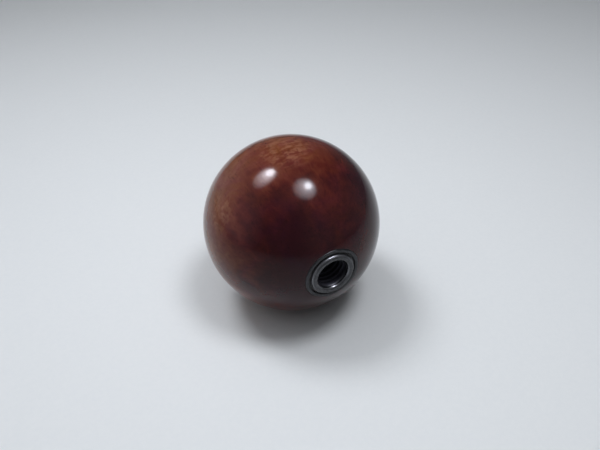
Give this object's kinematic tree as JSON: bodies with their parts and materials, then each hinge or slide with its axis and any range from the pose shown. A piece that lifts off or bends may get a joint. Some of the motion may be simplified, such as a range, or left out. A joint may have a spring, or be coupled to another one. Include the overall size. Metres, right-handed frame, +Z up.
{
  "type": "ball knob",
  "caption": "Turned, lacquered hardwood ball knob with a threaded steel bush bonded into it and a steel trim ring round the bush's rounded lip.",
  "frame": {"origin": "on the axis of the threaded hole, where its thread starts, 1.2 mm inside the lip face", "axes": "-Y out of the mouth along the thread's axis, +Z up, +X to the right when the mouth is faced"},
  "size_m": [0.05, 0.0497, 0.05],
  "materials": {
    "lacquered_wood": "high-gloss lacquer over stained hardwood",
    "dark_steel": "polished black oxide",
    "ring_steel": "satin black oxide",
    "adhesive": "cured black adhesive",
    "plug_plastic": "matt black nylon"
  },
  "bodies": {
    "root": {"ball": "lacquered_wood", "threaded_bush": "dark_steel", "trim_ring": "ring_steel", "bond_sleeve": "adhesive", "end_plug": "plug_plastic"}
  },
  "joints": []
}
